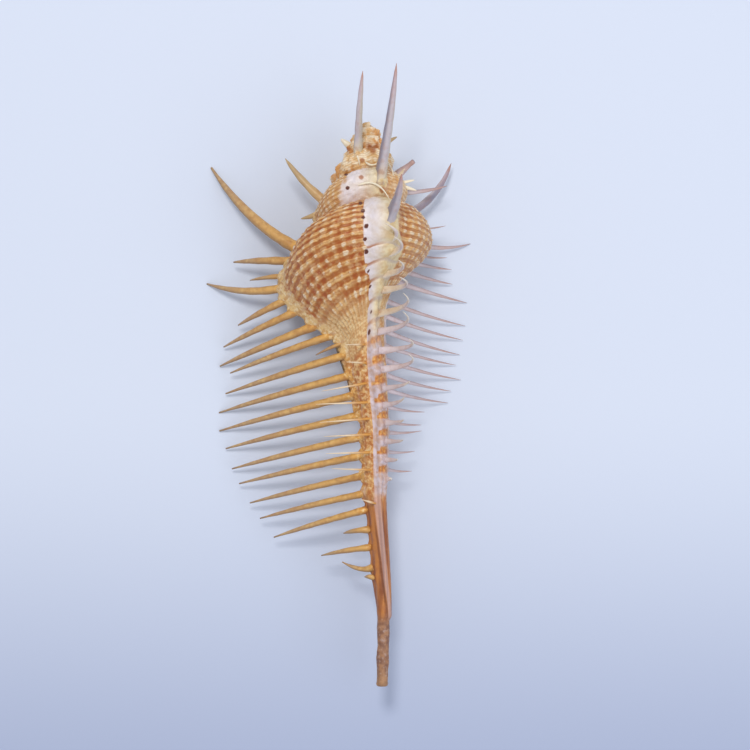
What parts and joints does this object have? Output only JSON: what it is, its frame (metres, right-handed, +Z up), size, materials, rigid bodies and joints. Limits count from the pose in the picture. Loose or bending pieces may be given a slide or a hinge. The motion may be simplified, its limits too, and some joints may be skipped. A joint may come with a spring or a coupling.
{
  "type": "murex shell",
  "caption": "Spiny sea shell with a coiled spire, three rows of long curved spines and a long straight siphonal canal, lying on its aperture side",
  "frame": {"origin": "on the surface the shell lies on, under the middle of its bounding box", "axes": "+Y along the shell from the canal to the spire, +Z up off the surface, +X sideways, away from the lip's comb of spines"},
  "size_m": [0.0538, 0.1234, 0.035],
  "materials": {
    "shell": "satin shell with brown spiral cords, pale beads and ochre spines"
  },
  "bodies": {
    "root": {"shell": "shell"}
  },
  "joints": []
}
